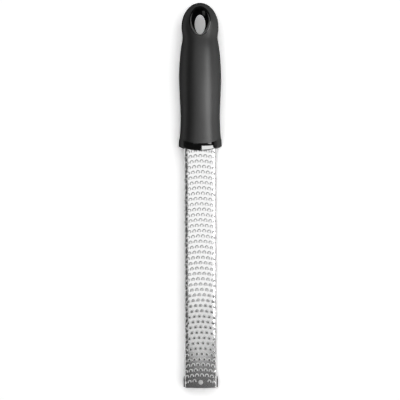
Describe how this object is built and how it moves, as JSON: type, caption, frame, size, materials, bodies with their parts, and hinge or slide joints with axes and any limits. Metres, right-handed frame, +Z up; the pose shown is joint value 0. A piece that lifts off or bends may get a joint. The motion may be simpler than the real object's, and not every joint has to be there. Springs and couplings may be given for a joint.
{
  "type": "rasp zester",
  "caption": "Long hand-held rasp zester: etched crowned steel channel blade, soft oval handle with gloss collar and hanging eye, riveted end foot.",
  "frame": {"origin": "on the table under the middle of the tool's length and width, as it lies teeth up", "axes": "+Y from the blade's tip to the handle's end, +Z up out of the teeth, +X to the right"},
  "size_m": [0.0364, 0.324, 0.0288],
  "materials": {
    "blade_steel": "bright stainless sheet, photo-etched, fine satin",
    "core_plastic": "polished black moulding",
    "grip_rubber": "soft-touch black, fine matte texture",
    "foot_plastic": "black moulding, satin",
    "pad_rubber": "black non-slip rubber",
    "rivet_metal": "plain bright head"
  },
  "bodies": {
    "root": {"blade": "blade_steel", "front_collar": "core_plastic", "core_upper": "core_plastic", "core_lower": "core_plastic", "grip_sleeve": "grip_rubber", "foot_bridge": "foot_plastic", "foot_pad_left": "pad_rubber", "foot_pad_right": "pad_rubber", "foot_rivet": "rivet_metal"}
  },
  "joints": []
}
